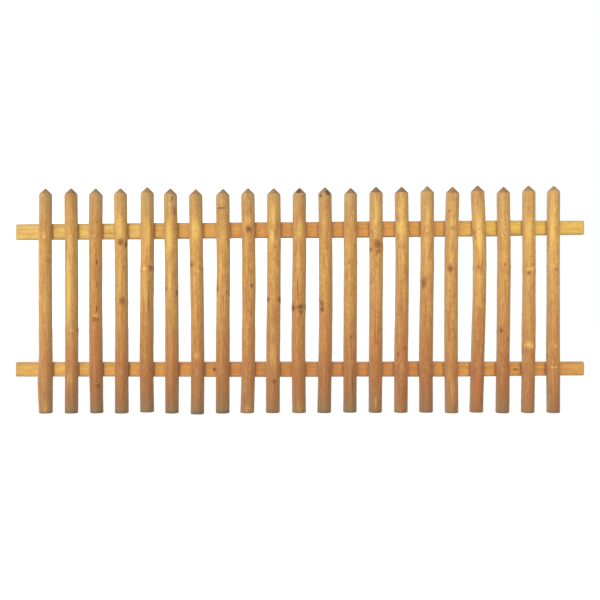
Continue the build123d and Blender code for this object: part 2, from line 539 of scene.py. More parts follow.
def peeled(angle, along, radius, rng, length):
    """The radius after a draw-knife has taken long shallow facets off a pole."""
    low, high = along.min(), along.max()
    result = radius.copy()
    for _ in range(facet_count):
        turn = rng.uniform(-math.pi, math.pi)
        place = rng.uniform(low, high)
        reach = rng.uniform(0.5, 1.4) * length
        depth = rng.uniform(0.15, 0.6) * MM
        share = 1 - ((along - place) / reach) ** 2
        facing = np.cos(angle - turn)
        cut = (radius - depth * share) / np.maximum(facing, 0.8)
        result = np.where((share > 0) & (facing > 0.8), np.minimum(result, cut), result)
    return result


def natural_skin(angle, along, radius, rng, size, length):
    """A pole's radius with its growth and its facets, and how deeply each point is shaved."""
    grown = radius + growth(angle, along, rng, size)
    skin = peeled(angle, along, grown, rng, length)
    return skin, np.clip((grown - skin) / deep_facet, 0, 1)


def eased(gap, softness):
    """How far a corner is rounded off at a gap from it."""
    return softness * np.log1p(np.exp(-gap / softness))


def soft_min(a, b, softness):
    """The smaller of two lengths, with the corner between them rounded."""
    return np.minimum(a, b) - eased(np.abs(b - a), softness)


# Knots and stains


class Knot(NamedTuple):
    """A branch cut flush with the pole: its place round and along the pole, its size and darkness."""

    angle: float
    along: float
    size: float
    long: float
    dark: float


# Round and along each rail, in radians and metres
rail_knots = {
    "top_rail": [
        Knot(0.1, 0.36, 0.004, 1.2, 0.5),
        Knot(-0.2, 1.02, 0.005, 1.2, 0.4),
        Knot(0.15, 2.19, 0.006, 1.1, 0.6),
        Knot(3.0, 0.7, 0.007, 1.2, 0.7),
        Knot(3.3, 1.6, 0.008, 1.2, 0.7),
        Knot(1.6, 1.3, 0.006, 1.2, 0.6),
    ],
    "bottom_rail": [
        Knot(-0.1, 2.147, 0.007, 1.1, 0.8),
        Knot(0.2, 0.83, 0.005, 1.2, 0.5),
        Knot(3.2, 0.5, 0.007, 1.2, 0.7),
        Knot(2.9, 1.9, 0.008, 1.2, 0.7),
        Knot(4.6, 1.1, 0.006, 1.2, 0.6),
    ],
}


def as_seen(mark, radius, middle_x):
    """A mark read off the photograph, moved for the pole's front being nearer to the camera."""
    forward = math.sqrt(max(radius * radius - (mark.across * MM) ** 2, 0)) / view_distance
    across = mark.across - (middle_x - view_place.x) / MM * forward
    height = mark.height - (mark.height - view_place.z / MM) * forward
    return mark._replace(across=across, height=height)


def turned(angle):
    """An angle brought to between minus half a turn and half a turn."""
    return (angle + math.pi) % (2 * math.pi) - math.pi


def turn_at(across, radius):
    """The place round a pole of what is seen that many millimetres from its middle."""
    return math.asin(max(-0.98, min(0.98, across * MM / radius)))


def with_hidden_knots(seen, rng, low, high, widest):
    """The knots that show in front, and the other branches of each whorl on the pole's flanks."""
    knots = list(seen)
    for knot in seen:
        if knot.size < 4 * MM:
            continue
        for side in (-1, 1):
            angle = side * rng.uniform(1.35, widest)
            if abs(turned(angle - knot.angle)) < 0.7 or rng.random() < 0.25:
                continue
            along = knot.along + rng.uniform(-12, 12) * MM
            knots.append(Knot(angle, along, rng.uniform(3.5, 6.5) * MM, 1.1, rng.uniform(0.5, 0.9)))
    for _ in range(2):
        along = rng.uniform(low + 0.05, high - 0.08)
        if min((abs(along - k.along) for k in knots), default=1) > 0.08:
            side = rng.choice((-1, 1))
            angle = side * rng.uniform(1.5, widest)
            knots.append(Knot(angle, along, rng.uniform(3, 6) * MM, 1.1, rng.uniform(0.4, 0.8)))
    return knots


def knot_fields(angle, along, radius, knots):
    """How knots lift the surface, bend the grain and colour it, at every point."""
    lift = np.zeros_like(angle)
    bend = np.zeros_like(angle)
    dark = np.zeros_like(angle)
    nearest = np.full(angle.shape, 1e9)
    second = np.full(angle.shape, 1e9)
    offset = np.ones(angle.shape + (3,)) * (1.0, 1.0, 0.001)
    for knot in knots:
        turn = turned(angle - knot.angle)
        across = turn * radius
        upward = (along - knot.along) / knot.long
        reach = np.hypot(across, upward) / knot.size
        lift += 0.12 * knot.size * np.exp(-((reach / 1.3) ** 2))
        lift += 0.05 * knot.size * np.exp(-((reach / 3.2) ** 2))
        bend += -0.85 * turn * np.exp(-((reach / 2.0) ** 2))
        closer = reach < nearest
        second = np.where(closer, nearest, np.minimum(second, reach))
        nearest = np.where(closer, reach, nearest)
        here = np.stack([across, upward, np.full(angle.shape, knot.size)], -1)
        offset = np.where(closer[..., None], here, offset)
        dark = np.where(closer, knot.dark, dark)
    dark = dark * np.clip((3.0 - nearest) / 0.8, 0, 1) * np.clip((second - nearest - 0.25) / 0.5, 0, 1)
    return lift, bend, offset, dark


def stain_field(placed, across_of, height):
    """How dark, light and red each point is, from soft patches; across_of tells how far aside it lies."""
    fields = []
    for kind in ("dark", "light", "red"):
        field = np.zeros_like(height)
        for mark in placed.get(kind, ()):
            aside = across_of(mark) / (mark.width * MM / 2)
            upward = (height - mark.height * MM) / (mark.tall * MM / 2)
            field = np.maximum(field, mark.strength * np.exp(-0.7 * (aside**2 + upward**2)))
        fields.append(field)
    return np.stack(fields, -1)


def picket_stains(placed, angle, height, radius):
    """A picket's stains, with their places measured round the pole."""
    mean = float(radius.mean())
    return stain_field(placed, lambda mark: turned(angle - turn_at(mark.across, mean)) * radius, height)


# Meshes


def column_shares(count, inset, cracks_at=(), crack_half=0.0):
    """Where the columns of points stand over one side, from -1 to 1: close at its corners and cracks."""
    shares = list(np.linspace(-1, 1, count + 1))
    shares += [-1 + inset, -1 + 2.2 * inset, 1 - 2.2 * inset, 1 - inset]
    roles = {}
    for number, place in enumerate(cracks_at):
        shares = [s for s in shares if abs(s - place) > 1.7 * crack_half]
        for step in crack_steps:
            share = place + step * crack_half
            shares.append(share)
            roles[share] = (number, step)
    shares.sort()
    return np.array(shares), [roles.get(s) for s in shares]


def end_ring(ring, middle, scale, axis, place):
    """A pole's end ring drawn in towards its middle, at a place along the pole."""
    drawn = middle + (ring - middle) * scale
    drawn[:, axis] = place
    return drawn


def spread(field, below, above, fill):
    """A field of the shaft's points, carried on over its ends, with a value for their two middles."""
    field = np.asarray(field, float)
    whole = np.concatenate([np.repeat(field[:1], below, 0), field, np.repeat(field[-1:], above, 0)])
    flat = whole.reshape(-1, *field.shape[2:])
    return np.concatenate([flat, np.full((2,) + flat.shape[1:], fill)])


def fibre_field(first, second, along, bend):
    """Where each point lies in the wood, twice across the grain and along it, bent round the knots."""
    cosine, sine = np.cos(bend), np.sin(bend)
    return np.stack([first * cosine - second * sine, first * sine + second * cosine, along], -1)


def closed_faces(rings, columns):
    """Faces between rings of points that close on themselves, and the fans that close both ends."""
    column = np.arange(columns)
    beside = (column + 1) % columns
    ring = np.arange(rings - 1)[:, None] * columns
    quads = np.stack([ring + column, ring + beside, ring + columns + beside, ring + columns + column], -1)
    last = (rings - 1) * columns
    middle = np.full(columns, rings * columns)
    low_fan = np.stack([beside, column, middle], -1)
    high_fan = np.stack([last + column, last + beside, middle + 1], -1)
    return quads.reshape(-1, 4), np.stack([low_fan, high_fan], 1).reshape(-1, 3)


def link(name, data):
    """A new object in the scene."""
    made = bpy.data.objects.new(name, data)
    bpy.context.scene.collection.objects.link(made)
    return made


def make_mesh(name, points, faces, kinds, materials, fields, columns=1, sharp_rings=()):
    """A smooth mesh with a material for each face, its fields as attributes and some rings kept sharp."""
    mesh = bpy.data.meshes.new(name)
    mesh.from_pydata(points.tolist(), [], faces)
    for material in materials:
        mesh.materials.append(material)
    mesh.polygons.foreach_set("material_index", np.array(kinds, dtype=np.int32))
    mesh.polygons.foreach_set("use_smooth", np.ones(len(mesh.polygons), dtype=bool))
    for field, values in fields.items():
        kind, slot = ("FLOAT_VECTOR", "vector") if values.ndim == 2 else ("FLOAT", "value")
        attribute = mesh.attributes.new(field, kind, "POINT")
        attribute.data.foreach_set(slot, values.astype(np.float32).ravel())
    edges = np.empty(len(mesh.edges) * 2, dtype=np.int32)
    mesh.edges.foreach_get("vertices", edges)
    first, second = edges.reshape(-1, 2).T // columns
    mesh.edges.foreach_set("use_edge_sharp", (first == second) & np.isin(first, sharp_rings))
    mesh.validate()
    mesh.update()
    return link(name, mesh)


def greying_and_painted_edges(points, tip, angle, greys, radius):
    """How far sun and rain grey the head and turned point, plus painted sheen and shade on flanks and tip.
    """
    height = points[:, 2]
    # painted sheen and shade: grey on the round flanks, the sides seen at the picket's edges
    flank = np.clip((np.abs(np.sin(angle)) - 0.5) / 0.5, 0, 1) ** 1.3
    head = np.clip((height - 0.63) / 0.12, 0, 1) * greys[1]
    climb = np.clip((height - (tip - radius)) / radius, 0, 1)
    # on the turned point, flank * flank paints shade on its sides and climb ** 5 paints shade at its tip
    cone = np.clip(climb / 0.2, 0, 1) * (greys[2] + 0.5 * flank * flank + 0.3 * climb) + 0.4 * climb**5
    # less of the painted flank sheen at the rails' heights
    at_rail_heights = np.exp(-(((height - 0.61) / 0.045) ** 2)) + np.exp(-((height / 0.045) ** 2))
    return np.clip(0.55 * flank * (1 - 0.7 * at_rail_heights) + head + cone, 0, 1)


def open_cracks(number, placed, turns, roles, angle, along, skin, radius):
    """Sink the columns over each crack, let them wander, and tell how deep in a crack each point is."""
    field = np.zeros_like(angle)
    for column, role in enumerate(roles):
        if role is None:
            continue
        place, aside = role
        for turn, crack in placed:
            if abs(turn - turns[place]) > same_crack:
                continue
            middle = (crack.low + crack.high) / 2 * MM
            reach = (crack.high - crack.low) / 2 * MM
            open_share = np.clip(1 - ((along[:, column] - middle) / reach) ** 2, 0, 1) ** 0.5
            skin[:, column] -= crack.depth * MM * (1 - abs(aside)) ** 0.8 * open_share
            field[:, column] = np.maximum(field[:, column], (1 - 0.8 * abs(aside)) * open_share)
        rng = np.random.default_rng(crack_seed * number + place)
        angle[:, column] += crack_wander * wave(along[:, column], crack_wave, rng) / radius
    return field


def build_picket(number, materials):
    """A peeled pole with a turned point, sawn flat along its back, dressed from its solid."""
    node = f"picket_{number:02d}"
    rng = np.random.default_rng(100 + number)
    pole = measure_picket(node)
    picket_poles.append(pole)
    sawn_depth = pole.high.y - pole.axis_y
    foot, tip = pole.low.z, pole.high.z
    radius = float(np.mean(pole.radii))
    middle = float(np.mean(pole.middles))
    own = {kind: [as_seen(Mark(*m), radius, middle) for m in rows] for kind, rows in marks[number].items()}

    # Columns and rings of points
    sideways = -(middle - view_place.x) * radius / view_distance / MM
    placed = [(turn_at(crack.across + sideways, radius), crack) for crack in cracks.get(number, ())]
    turns = []
    for turn, _ in placed:
        if all(abs(turn - other) > same_crack for other in turns):
            turns.append(turn)
    round_half = math.pi - math.acos(sawn_depth / radius)
    side = round_half * radius
    round_shares, roles = column_shares(
        round_columns, corner_inset / side, [t / round_half for t in turns], crack_half_width / side
    )
    flat_shares = column_shares(flat_columns, 2 * corner_inset / sawn_side_width)[0][1:-1]
    roles += [None] * len(flat_shares)
    shaft = tip - point_length - foot
    near_shoulder = 1 - np.array(shoulder_rings) * MM / shaft
    plain_rings = int((tip - foot) / ring_step)
    share = np.concatenate([np.linspace(0, near_shoulder[0], plain_rings)[:-1], near_shoulder])[:, None]
    rough_z = foot + shaft * share
    corner = math.pi - np.arccos(np.clip(sawn_depth / pole.radius(rough_z), -1, 1))
    flat_angle = math.pi + np.arctan(flat_shares * np.tan(math.pi - corner))
    angle = np.concatenate([corner * round_shares, flat_angle], 1)
    columns = angle.shape[1]
    along = np.repeat(rough_z, columns, 1)
    base = np.repeat(pole.radius(rough_z), columns, 1)

    # The skin, with its knots, whorls and cracks
    seen = []
    for m in own.get("knot", ()):
        size = knot_scale * m.width * MM / 2
        seen.append(Knot(turn_at(m.across, radius), m.height * MM, size, m.tall / m.width, m.strength))
    knots = with_hidden_knots(seen, rng, foot, tip, 0.93 * round_half)
    lift, bend, knot_offset, knot_dark = knot_fields(angle, along, base, knots)
    skin, shaved = natural_skin(angle, along, base, rng, picket_growth, picket_facet)
    skin += lift
    for whorl in own.get("whorl", ()):
        reach = (along - whorl.height * MM) / (whorl.tall * MM / 2)
        skin += whorl.strength * MM * np.exp(-(reach**2))
    crack_field = open_cracks(number, placed, turns, roles, angle, along, skin, radius)

    # The turned point: each column of points ends where the skin meets the cone
    offset_x, offset_y = rng.uniform(-1, 1, 2) * point_offset
    apex = tip + tip_radius
    rim = skin[-1]
    round_rim = angle[-1]
    leaning = rim - (offset_x * np.sin(round_rim) - offset_y * np.cos(round_rim))
    shoulder = apex - np.clip(leaning, 0, None)
    z = foot + (shoulder - foot) * share
    skin = skin - eased(shoulder - z, shoulder_softness)
    to_back = np.cos(angle - math.pi)
    behind = np.where(to_back > 0.05, sawn_depth / np.maximum(to_back, 0.05), 1.0)
    skin = soft_min(skin, behind, corner_softness)
    x = pole.middle(z) + skin * np.sin(angle)
    y = pole.axis_y - skin * np.cos(angle)
    point_x = float(pole.middle(tip - point_length)) + offset_x
    point_y = pole.axis_y + offset_y
    rim_x = pole.middle(z[-1]) + rim * np.sin(round_rim)
    rim_y = np.minimum(pole.axis_y - rim * np.cos(round_rim), pole.high.y)
    cone = []
    for step, part in enumerate(cone_parts):
        climb = (apex - z[-1]) * part
        wobble = 1 + cone_wobble * (1 - part) * np.sin(3 * round_rim + number + step)
        scale = ((1 - part) - eased(climb, shoulder_softness) / rim) * wobble
        cone_x = point_x + (rim_x - point_x) * scale
        cone_y = np.minimum(point_y + (rim_y - point_y) * scale, pole.high.y)
        cone_z = np.minimum(z[-1] + climb, tip - (1 - part) * cone_slack)
        cone.append(np.stack([cone_x, cone_y, cone_z], -1))
    cone = np.array(cone)

    # The worn foot and its sawn end
    foot_middle = np.array([x[0].mean(), pole.axis_y, foot])
    worn = foot_wear / radius
    first = np.stack([x[0], y[0], z[0]], -1)
    foot_rings = []
    for scale, rise in ((0.33, 0), (0.66, 0), (1 - worn, 0), (1 - 0.3 * worn, 0.3 * foot_wear)):
        foot_rings.append(end_ring(first, foot_middle, scale, 2, foot + rise))
    z[0] += foot_wear
    grid = np.concatenate([foot_rings, np.stack([x, y, z], -1), cone])
    grid[..., 1] = np.maximum(grid[..., 1], cad_box[0][1] + front_margin)
    points = np.concatenate([grid.reshape(-1, 3), [foot_middle, (point_x, point_y, tip)]])

    def carried(field, fill=0.0):
        """A field of the shaft's points, carried on over the foot and the turned point."""
        return spread(field, len(foot_rings), len(cone), fill)

    stain = carried(picket_stains(own, angle, z, base))
    repeat = np.ones((len(cone), 1))
    on_cone = picket_stains(own, repeat * round_rim, cone[..., 2], repeat * base[-1])
    stain[-2 - cone[..., 0].size : -2] = on_cone.reshape(-1, 3)
    finish = finishes[number - 1]
    foot_red, middle_red, point_red = finish.reds
    height = points[:, 2]
    fields = {
        "fibre": fibre_field(
            points[:, 0] - pole.middle(height),
            points[:, 1] - pole.axis_y,
            height + other_wood * number,
            carried(bend),
        ),
        "knot": carried(knot_offset, 1.0),
        "knot_dark": carried(knot_dark),
        "stain": stain,
        "crack": carried(crack_field),
        "tone": np.interp(height, tone_heights, finish.tones),
        "red": np.interp(
            height,
            (-0.08, 0.02, 0.25, tip - 36 * MM, tip - 30 * MM),
            (foot_red, 0.8 * foot_red, middle_red, middle_red, point_red),
        ),
        "shaved": carried(shaved, 0.3),
        "greying_and_painted_edge_light": greying_and_painted_edges(points, tip, carried(angle), finish.greys, radius),
        "grime_and_painted_shade": finish.greys[0] * np.clip((foot + 0.13 - height) / 0.13, 0, 1) ** 1.4,
    }
    quads, fans = closed_faces(len(grid), columns)
    in_front = np.arange(columns) < len(round_shares) - 1
    kinds = np.where(in_front, PEELED, SAWN) * np.ones((len(grid) - 1, 1), int)
    kinds[-len(cone) :, in_front] = TURNED
    foot_edge = len(foot_rings) - 2
    kinds[:foot_edge] = END
    kinds = np.append(kinds, [END, TURNED] * columns)
    faces = quads.tolist() + fans.tolist()
    piece = make_mesh(f"dressed_{node}", points, faces, kinds, materials, fields, columns, [foot_edge])
    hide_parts(node)
    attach(piece, "root")
    return piece


def build_rail(node, seed, painted_shade, materials, stains):
    """A pole slabbed on two sides, with wavy natural edges, dressed from its solid."""
    rng = np.random.default_rng(seed)
    pole = measure_rail(node)
    half_thick = (pole.high.y - pole.low.y) / 2
    left, right = pole.low.x, pole.high.x
    place = np.linspace(left, right, int((right - left) / rail_ring_step))[:, None]
    corner = np.arccos(np.clip(half_thick / pole.radius(place), 0, 1))
    inset = corner_inset / rail_face_half
    face_shares, _ = column_shares(flat_columns, inset)
    edge_shares, _ = column_shares(edge_columns, 2 * inset)
    over_face = np.arctan(face_shares * np.tan(corner))
    over_edge = (math.pi / 2 - corner) * edge_shares[1:-1]
    sides = [over_face, math.pi / 2 + over_edge, math.pi + over_face, 3 * math.pi / 2 + over_edge]
    angle = np.concatenate(sides, 1)
    columns = angle.shape[1]
    along = np.repeat(place, columns, 1)
    base = np.repeat(pole.radius(place), columns, 1)
    lift, bend, knot_offset, knot_dark = knot_fields(angle, along, base, rail_knots[node])
    skin, shaved = natural_skin(angle, along, base, rng, rail_growth, rail_facet)
    flats = np.maximum(np.abs(np.cos(angle)), 0.02)
    skin = soft_min(skin + lift * 0.6, half_thick / flats, rail_corner_softness)
    y = pole.axis_y - skin * np.cos(angle)
    grid = np.stack([along, y, pole.middle(along) + skin * np.sin(angle)], -1)

    # The worn, sawn ends
    left_middle = np.array([left, pole.axis_y, grid[0, :, 2].mean()])
    right_middle = np.array([right, pole.axis_y, grid[-1, :, 2].mean()])
    left_rings = [end_ring(grid[0], left_middle, scale, 0, left) for scale in rail_end_scales]
    right_rings = [end_ring(grid[-1], right_middle, scale, 0, right) for scale in rail_end_scales[::-1]]
    grid[0, :, 0] += rail_end_wear
    grid[-1, :, 0] -= rail_end_wear
    grid = np.concatenate([left_rings, grid, right_rings])
    grid[..., 1] = np.clip(grid[..., 1], pole.low.y, pole.high.y)
    points = np.concatenate([grid.reshape(-1, 3), [left_middle, right_middle]])
    extra = len(rail_end_scales)

    def carried(field, fill=0.0):
        """A field of the rail's points, carried on over its ends."""
        return spread(field, extra, extra, fill)

    x = points[:, 0]
    upward = points[:, 2] - pole.middle(x)
    backward = points[:, 1] - pole.axis_y
    placed = {kind: [Mark(*m) for m in rows] for kind, rows in stains.items()}
    beside, before = beside_pickets(points, pole.axis_y)
    # greyer towards the rail's upper and lower edges
    greyer_near_edges = 0.5 * np.clip(np.abs(upward) / pole.radius(x) / 0.35 - 1.7, 0, 1)
    # painted shade along the last 5 mm of the rail's right end
    painted_end_shade = 0.8 * np.clip((x - right) / (5 * MM) + 1, 0, 1)
    fields = {
        "fibre": fibre_field(upward, backward, x + other_rail_wood * seed, carried(bend)),
        "knot": carried(knot_offset, 1.0),
        "knot_dark": carried(knot_dark),
        "stain": stain_field(placed, lambda mark: x - mark.across * MM, upward) * (backward < 0)[:, None],
        "crack": np.zeros(len(points)),
        "tone": np.zeros(len(points)),
        "red": np.full(len(points), 0.2),
        "greying_and_painted_edge_light": np.maximum(greyer_near_edges, painted_end_shade),
        "shaved": carried(shaved, 0.3),
        "beside": beside,
        # painted shade: where the dark line in the gap shows, and how strong the painted red-brown shade is
        # along the rail
        "painted_crevice_line": 0.4 * before * np.clip((x - 1.05) / 0.15, 0, 1),
        "grime_and_painted_shade": np.interp(x, painted_shade_places, painted_shade),
    }
    quads, fans = closed_faces(len(grid), columns)
    on_face = np.arange(columns) % (columns // 2) < len(face_shares) - 1
    kinds = np.where(on_face, FACE, EDGE) * np.ones((len(grid) - 1, 1), int)
    kinds[:extra] = END
    kinds[-extra:] = END
    kinds = np.append(kinds, [END] * len(fans))
    faces = quads[:, ::-1].tolist() + fans[:, ::-1].tolist()
    last = len(grid) - extra
    sharp_rings = [extra - 1, extra, last - 1, last]
    piece = make_mesh(f"dressed_{node}", points, faces, kinds, materials, fields, columns, sharp_rings)
    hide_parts(node)
    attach(piece, "root")
    return piece


def beside_pickets(points, axis_y):
    """How far each point of a rail's front is from the nearest picket, and whether it is left of it."""
    nearest = np.full(len(points), FAR)
    before = np.zeros(len(points))
    for pole in picket_poles:
        middle = pole.middle(points[:, 2])
        gap = np.abs(points[:, 0] - middle) - pole.radius(points[:, 2])
        before = np.where(gap < nearest, points[:, 0] < middle, before)
        nearest = np.minimum(nearest, gap)
    return np.where(points[:, 1] < axis_y, nearest, FAR), before


def build_nails(material):
    """Round nail heads, one at each crossing, pressed into the pickets' fronts."""
    rng = np.random.default_rng(5)
    head_radius = 3.5 * MM
    profile = ((1.0, -0.6), (1.02, 0.1), (0.86, 0.4), (0.45, 0.6))  # share of the radius, and rise in mm
    crown = 0.66
    around = 20
    rail_heights = (3, 613)
    dull = 0.05
    placed = list(shiny_nails)
    taken = {(nail.picket, nail.height > above_middle) for nail in placed}
    for number in dressed:
        for height in rail_heights:
            if (number, height > above_middle) not in taken:
                placed.append(Nail(number, rng.uniform(-6, 6), height + rng.uniform(-12, 10), dull))
    points = []
    faces = []
    shine = []
    for nail in placed:
        low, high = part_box(f"picket_{nail.picket:02d}")
        if nail in shiny_nails:
            nail = as_seen(nail, (high.x - low.x) / 2, (low.x + high.x) / 2)
        mesh = dressed[nail.picket].data
        z = nail.height * MM
        level = [v.co.x for v in mesh.vertices if abs(v.co.z - z) < 4 * MM]
        x = (min(level) + max(level)) / 2 + nail.across * MM
        place, normal, _, _ = target(mesh).ray_cast(Vector((x, -1, z)), Vector((0, 1, 0)))
        side = normal.cross(Vector((0, 0, 1))).normalized()
        up = side.cross(normal).normalized()
        start = len(points)
        for scale, rise in profile:
            for step in range(around):
                turn = 2 * math.pi * step / around
                spot = side * math.cos(turn) + up * math.sin(turn)
                points.append(place + spot * head_radius * scale + normal * rise * MM)
        points.append(place + normal * crown * MM)
        for first in range(start, start + (len(profile) - 1) * around, around):
            for step in range(around):
                a = first + step
                b = first + (step + 1) % around
                faces.append([a, b, b + around, a + around])
        last = start + (len(profile) - 1) * around
        for step in range(around):
            faces.append([last + step, last + (step + 1) % around, len(points) - 1])
        faces.append([start + step for step in range(around - 1, -1, -1)])
        shine += [nail.shine] * (len(points) - start)
    kinds = [0] * len(faces)
    piece = make_mesh("nail_heads", np.array(points), faces, kinds, [material], {"shine": np.array(shine)})
    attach(piece, "root")


# Materials


class Tree:
    """A short way to place nodes and join them in one node tree."""

    def __init__(self, tree):
        self.tree = tree

    def add(self, kind, **settings):
        node = self.tree.nodes.new(kind)
        for key, value in settings.items():
            setattr(node, key, value)
        return node

    def feed(self, socket, value):
        if isinstance(value, bpy.types.NodeSocket):
            self.tree.links.new(value, socket)
        else:
            socket.default_value = value

    def fill(self, node, **values):
        """Feed a node's inputs, each by its name."""
        for label, value in values.items():
            self.feed(node.inputs[label.replace("_", " ")], value)
        return node.outputs[0]

    def math(self, operation, *values, clamp=False):
        node = self.add("ShaderNodeMath", operation=operation, use_clamp=clamp)
        for socket, value in zip(node.inputs, values):
            self.feed(socket, value)
        return node.outputs[0]

    def times(self, a, b, clamp=False):
        return self.math("MULTIPLY", a, b, clamp=clamp)

    def plus(self, a, b, clamp=False):
        return self.math("ADD", a, b, clamp=clamp)

    def mix(self, share, a, b, blend="MIX"):
        node = self.add("ShaderNodeMix", data_type="RGBA", blend_type=blend)
        for place, value in ((0, share), (6, a), (7, b)):
            self.feed(node.inputs[place], value)
        return node.outputs[2]

    def tinted(self, a, b):
        return self.mix(1.0, a, b, "MULTIPLY")

    def remap(self, value, low, high, to_low=0.0, to_high=1.0, ease="SMOOTHSTEP"):
        node = self.add("ShaderNodeMapRange", interpolation_type=ease)
        return self.fill(node, Value=value, From_Min=low, From_Max=high, To_Min=to_low, To_Max=to_high)

    def noise(self, vector, scale, detail, roughness=0.5, distortion=0.0):
        node = self.add("ShaderNodeTexNoise")
        self.fill(node, Vector=vector, Scale=scale, Detail=detail)
        self.fill(node, Roughness=roughness, Distortion=distortion)
        return node.outputs["Fac"]

    def grain(self, fibre, scales, detail, roughness=0.5, distortion=0.0):
        """Noise drawn out along the grain: its scales are twice across the grain and once along it."""
        node = self.add("ShaderNodeVectorMath", operation="MULTIPLY")
        self.feed(node.inputs[0], fibre)
        node.inputs[1].default_value = scales
        return self.noise(node.outputs[0], 1.0, detail, roughness, distortion)

    def swing(self, noise, size):
        """Noise that pushes both ways."""
        return self.times(self.math("SUBTRACT", noise, 0.5), size)

    def length(self, vector):
        node = self.add("ShaderNodeVectorMath", operation="LENGTH")
        self.feed(node.inputs[0], vector)
        return node.outputs["Value"]

    def split(self, vector):
        node = self.add("ShaderNodeSeparateXYZ")
        self.feed(node.inputs[0], vector)
        return node.outputs[0], node.outputs[1], node.outputs[2]

    def join(self, x, y, z):
        return self.fill(self.add("ShaderNodeCombineXYZ"), X=x, Y=y, Z=z)

    def value(self, name):
        return self.add("ShaderNodeAttribute", attribute_name=name).outputs["Fac"]

    def vector(self, name):
        return self.add("ShaderNodeAttribute", attribute_name=name).outputs["Vector"]

    def show(self, shader, kind="ShaderNodeOutputMaterial"):
        """Make a shader what a material or a world shows."""
        self.feed(self.add(kind).inputs["Surface"], shader)

    def object_place(self):
        return self.add("ShaderNodeTexCoord").outputs["Object"]

    def laid_over(self, colour, layers):
        """A colour with others laid over it in turn, each through its mask at its strength."""
        for mask, strength, over in layers:
            share = mask if strength == 1 else self.times(mask, strength)
            colour = self.mix(share, colour, over)
        return colour


def empty_tree(holder):
    """The cleared node tree of a material or a world."""
    holder.use_nodes = True
    holder.node_tree.nodes.clear()
    return Tree(holder.node_tree)


def shader_group(name, vectors, numbers, make):
    """A shader group with named inputs; make gives its named masks, values and heights."""
    group = bpy.data.node_groups.new(name, "ShaderNodeTree")
    for label in vectors:
        group.interface.new_socket(label, in_out="INPUT", socket_type="NodeSocketVector")
    for label, value in numbers.items():
        socket = group.interface.new_socket(label, in_out="INPUT", socket_type="NodeSocketFloat")
        socket.default_value = value
    tree = Tree(group)
    made = make(tree, tree.add("NodeGroupInput").outputs)
    for label in made:
        group.interface.new_socket(label, in_out="OUTPUT", socket_type="NodeSocketFloat")
    leave = tree.add("NodeGroupOutput")
    for label, value in made.items():
        tree.feed(leave.inputs[label], value)
    return group


def softwood_figure(tree, given):
    """Softwood figure: long streaks, fine fibres, growth lines and slow blotches, each from 0 to 1."""
    fibre = given["Fibre"]
    slow = tree.grain(fibre, (26, 26, 2.2), 2.0)
    x, y, _ = tree.split(fibre)
    pith = tree.math("POWER", tree.plus(tree.times(x, x), tree.times(y, y)), 0.5)
    turns = tree.math("DIVIDE", tree.plus(pith, tree.times(slow, 0.022)), given["Ring Width"])
    return {
        "Streaks": tree.remap(tree.grain(fibre, (150, 150, 5), 3.0, 0.55, 0.3), 0.32, 0.68),
        "Fibres": tree.grain(fibre, (900, 900, 26), 3.0, 0.6),
        "Rings": tree.math("POWER", tree.math("FRACT", turns), 2.2),
        "Blotches": tree.remap(tree.grain(fibre, (55, 55, 17), 4.0, 0.7, 0.6), 0.46, 0.64),
        "Patches": tree.remap(tree.grain(fibre, (90, 90, 24), 4.0, 0.7, 0.8), 0.5, 0.62),
        "Specks": tree.remap(tree.grain(fibre, (300, 300, 80), 3.0, 0.6), 0.6, 0.72),
        "Mottle": tree.remap(tree.grain(fibre, (140, 140, 75), 3.0, 0.65, 0.5), 0.36, 0.64),
    }


def cut_branch(tree, given):
    """A cut branch: its core, its dark rim, its pale surround, and the height it stands."""
    across, along, size = tree.split(given["Offset"])
    dark = given["Dark"]
    flat = tree.join(across, along, 0.0)
    rough = tree.noise(flat, 260.0, 3.0, 0.6)
    ragged = tree.plus(tree.math("DIVIDE", tree.length(flat), size), tree.swing(rough, 0.8))
    core = tree.remap(ragged, 1.05, 0.8)
    rim = tree.times(tree.remap(ragged, 0.7, 0.98), tree.remap(ragged, 1.3, 1.0))
    turn = tree.math("ARCTAN2", across, along)
    rays = tree.noise(tree.join(tree.times(turn, 1.6), size, 0.0), 2.2, 3.0, 0.7)
    split_reach = tree.plus(ragged, tree.swing(rays, -2.4))
    halo = tree.times(tree.remap(ragged, 1.0, 1.3), tree.remap(ragged, 2.3, 1.2))
    rings = tree.math("SINE", tree.times(ragged, 17.0))
    return {
        "Core": tree.times(core, dark),
        "Rim": tree.times(rim, dark),
        "Heart": tree.times(tree.remap(split_reach, 0.5, 0.2), dark),
        "Surround": tree.times(halo, dark),
        "Rings": tree.times(tree.times(rings, core), dark),
        "Height": tree.plus(tree.times(rim, -1.0), tree.times(core, 0.4)),
    }


def ragged_stains(tree, given):
    """Dark, light and red patches with ragged edges that follow the grain."""
    dark, light, red = tree.split(given["Stain"])
    push = tree.swing(tree.grain(given["Fibre"], (330, 330, 60), 3.0, 0.6), 0.55)
    soft_push = tree.swing(tree.grain(given["Fibre"], (170, 170, 14), 3.0, 0.6), 0.9)
    return {
        "Dark": tree.remap(tree.plus(dark, push), 0.3, 0.75),
        "Light": tree.remap(tree.plus(light, soft_push), 0.15, 0.95),
        "Red": tree.remap(tree.plus(red, soft_push), 0.15, 0.95),
    }


def saw_marks(tree, given):
    """Marks of a saw across a sawn face, as a height."""
    x, _, z = tree.split(given["Fibre"])
    lines = tree.join(tree.plus(z, tree.times(x, 0.35)), 0.0, 0.0)
    coarse = tree.grain(lines, (260, 1, 1), 2.0, 0.7)
    fine = tree.grain(lines, (1100, 1, 1), 1.0)
    return {"Height": tree.plus(tree.times(coarse, 0.7), tree.times(fine, 0.3))}


